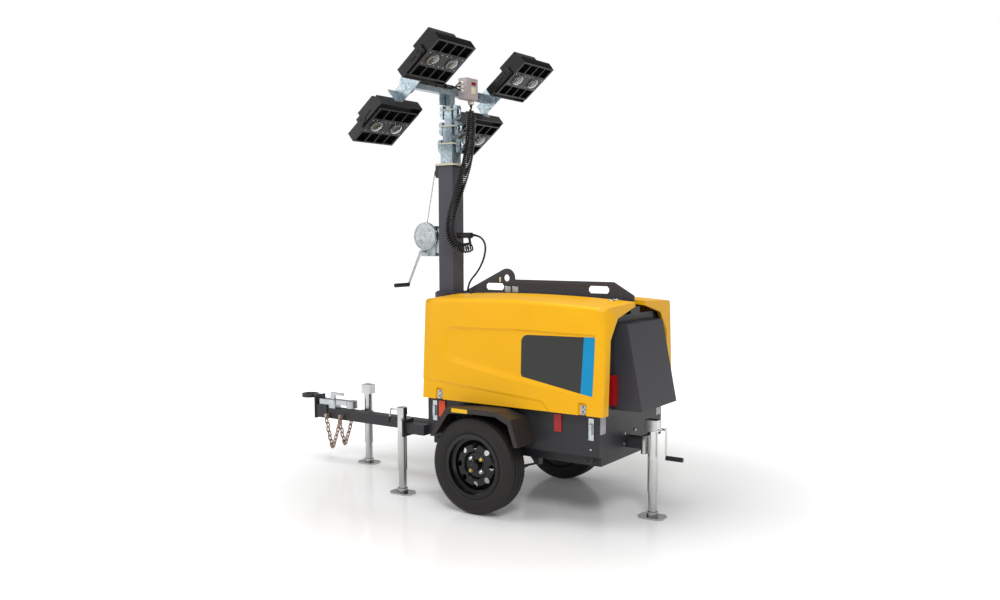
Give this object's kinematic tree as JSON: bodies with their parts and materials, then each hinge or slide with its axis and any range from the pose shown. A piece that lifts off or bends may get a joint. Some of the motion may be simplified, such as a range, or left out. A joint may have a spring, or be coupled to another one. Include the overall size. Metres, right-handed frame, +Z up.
{
  "type": "mobile light tower",
  "caption": "Towed lighting tower: single-axle trailer with gull-wing canopy, turning telescopic mast, tilting floodlights and screw jacks",
  "frame": {"origin": "on the ground, in the middle of the machine's length and width", "axes": "+X forward to the towing eye, +Y left, +Z up"},
  "size_m": [2.8924, 1.254, 2.716],
  "materials": {
    "canopy_yellow": "rotomoulded",
    "charcoal": "powder coat",
    "slate": "powder coat",
    "galvanised": "galvanised",
    "lamp_black": "cast, black powder coat",
    "reflector": "bright",
    "black_plastic": "moulded",
    "black_rubber": "satin",
    "tyre": "rubber",
    "rim_black": "gloss enamel",
    "lamp_red": "moulded lens",
    "lamp_amber": "moulded lens",
    "box_grey": "moulded",
    "engine_iron": "cast",
    "steel_bright": "zinc plated"
  },
  "bodies": {
    "trailer": {"base_tray": "charcoal", "chassis_rails": "charcoal", "drawbar": "charcoal", "coupling_head": "charcoal", "towing_eye": "charcoal", "ball_coupler": "steel_bright", "safety_chains": "steel_bright", "axle": "charcoal", "leaf_springs": "charcoal", "fender_left": "black_plastic", "fender_right": "black_plastic", "centre_frame": "charcoal", "lifting_plate": "slate", "rear_panel": "charcoal", "rear_hood": "slate", "tail_lamps": "lamp_red", "amber_reflectors": "lamp_amber", "red_reflectors": "lamp_red", "toggle_latches": "steel_bright", "engine_block": "engine_iron", "mast_pedestal": "charcoal", "mast_bearing": "charcoal", "roof_gland": "black_plastic", "jack_arms": "charcoal", "jack_tubes": "galvanised", "tie_down_rings": "charcoal", "supply_cable": "black_rubber"},
    "wheel_left": {"tyre_left": "tyre", "rim_left": "rim_black"},
    "wheel_right": {"tyre_right": "tyre", "rim_right": "rim_black"},
    "canopy_left": {"shell_left": "canopy_yellow"},
    "canopy_right": {"shell_right": "canopy_yellow"},
    "mast": {"mast_tube": "slate", "winch_frame": "steel_bright", "winch_drum": "steel_bright", "winch_crank": "steel_bright", "winch_cable": "steel_bright", "cable_plug": "black_plastic", "curly_cable": "black_rubber"},
    "section_2": {"mast_section_2": "galvanised"},
    "section_3": {"mast_section_3": "galvanised"},
    "section_4": {"mast_section_4": "galvanised"},
    "head": {"mast_head": "galvanised", "crossbar": "galvanised", "lamp_brackets": "galvanised", "lamp_yokes": "lamp_black", "junction_box": "box_grey"},
    "lamp_upper_left": {"lamp_upper_left": "lamp_black", "optics_upper_left": "reflector"},
    "lamp_upper_right": {"lamp_upper_right": "lamp_black", "optics_upper_right": "reflector"},
    "lamp_lower_left": {"lamp_lower_left": "lamp_black", "optics_lower_left": "reflector"},
    "lamp_lower_right": {"lamp_lower_right": "lamp_black", "optics_lower_right": "reflector"},
    "leg_left": {"jack_leg_left": "galvanised"},
    "leg_right": {"jack_leg_right": "galvanised"},
    "leg_rear": {"jack_leg_rear": "galvanised"},
    "leg_drawbar": {"jack_leg_drawbar": "galvanised"}
  },
  "joints": [
    {"name": "wheel_left_spin", "type": "hinge", "parent": "trailer", "child": "wheel_left", "pos_m": [-0.40975, 0.476, 0.2736], "axis": [0, 1, 0], "continuous": true},
    {"name": "wheel_right_spin", "type": "hinge", "parent": "trailer", "child": "wheel_right", "pos_m": [-0.40975, -0.476, 0.2736], "axis": [0, 1, 0], "continuous": true},
    {"name": "canopy_left_hinge", "type": "hinge", "parent": "trailer", "child": "canopy_left", "pos_m": [-0.40975, 0.048, 1.196], "axis": [-1, 0, 0], "range_deg": [-70, 0]},
    {"name": "canopy_right_hinge", "type": "hinge", "parent": "trailer", "child": "canopy_right", "pos_m": [-0.40975, -0.048, 1.196], "axis": [-1, 0, 0], "range_deg": [0, 70]},
    {"name": "mast_turn", "type": "hinge", "parent": "trailer", "child": "mast", "pos_m": [0.13125, 0, 0.4], "axis": [0, 0, 1], "range_deg": [-170, 130], "deforming": ["supply_cable"]},
    {"name": "mast_extend", "type": "slide", "parent": "mast", "child": "head", "axis": [0, 0, 1], "range_m": [0, 5.28], "deforming": ["curly_cable"]},
    {"name": "section_2_slide", "type": "slide", "parent": "mast", "child": "section_2", "axis": [0, 0, 1], "range_m": [0, 1.32]},
    {"name": "section_3_slide", "type": "slide", "parent": "mast", "child": "section_3", "axis": [0, 0, 1], "range_m": [0, 2.64]},
    {"name": "section_4_slide", "type": "slide", "parent": "mast", "child": "section_4", "axis": [0, 0, 1], "range_m": [0, 3.96]},
    {"name": "lamp_upper_left_tilt", "type": "hinge", "parent": "head", "child": "lamp_upper_left", "pos_m": [-0.11852, 0.435, 2.57377], "axis": [0, 1, 0], "range_deg": [-35, 35]},
    {"name": "lamp_upper_right_tilt", "type": "hinge", "parent": "head", "child": "lamp_upper_right", "pos_m": [-0.11852, -0.435, 2.57377], "axis": [0, 1, 0], "range_deg": [-35, 35]},
    {"name": "lamp_lower_left_tilt", "type": "hinge", "parent": "head", "child": "lamp_lower_left", "pos_m": [0.30424, 0.435, 2.23142], "axis": [0, 1, 0], "range_deg": [-35, 35]},
    {"name": "lamp_lower_right_tilt", "type": "hinge", "parent": "head", "child": "lamp_lower_right", "pos_m": [0.30424, -0.435, 2.23142], "axis": [0, 1, 0], "range_deg": [-35, 35]},
    {"name": "leg_left_slide", "type": "slide", "parent": "trailer", "child": "leg_left", "axis": [0, 0, 1], "range_m": [-0.15, 0.1]},
    {"name": "leg_right_slide", "type": "slide", "parent": "trailer", "child": "leg_right", "axis": [0, 0, 1], "range_m": [-0.15, 0.1]},
    {"name": "leg_rear_slide", "type": "slide", "parent": "trailer", "child": "leg_rear", "axis": [0, 0, 1], "range_m": [-0.15, 0.1]},
    {"name": "leg_drawbar_slide", "type": "slide", "parent": "trailer", "child": "leg_drawbar", "axis": [0, 0, 1], "range_m": [-0.15, 0.1]}
  ],
  "couplings": [
    {"joint": "section_2_slide", "follows": "mast_extend", "ratio": 0.25},
    {"joint": "section_3_slide", "follows": "mast_extend", "ratio": 0.5},
    {"joint": "section_4_slide", "follows": "mast_extend", "ratio": 0.75}
  ]
}
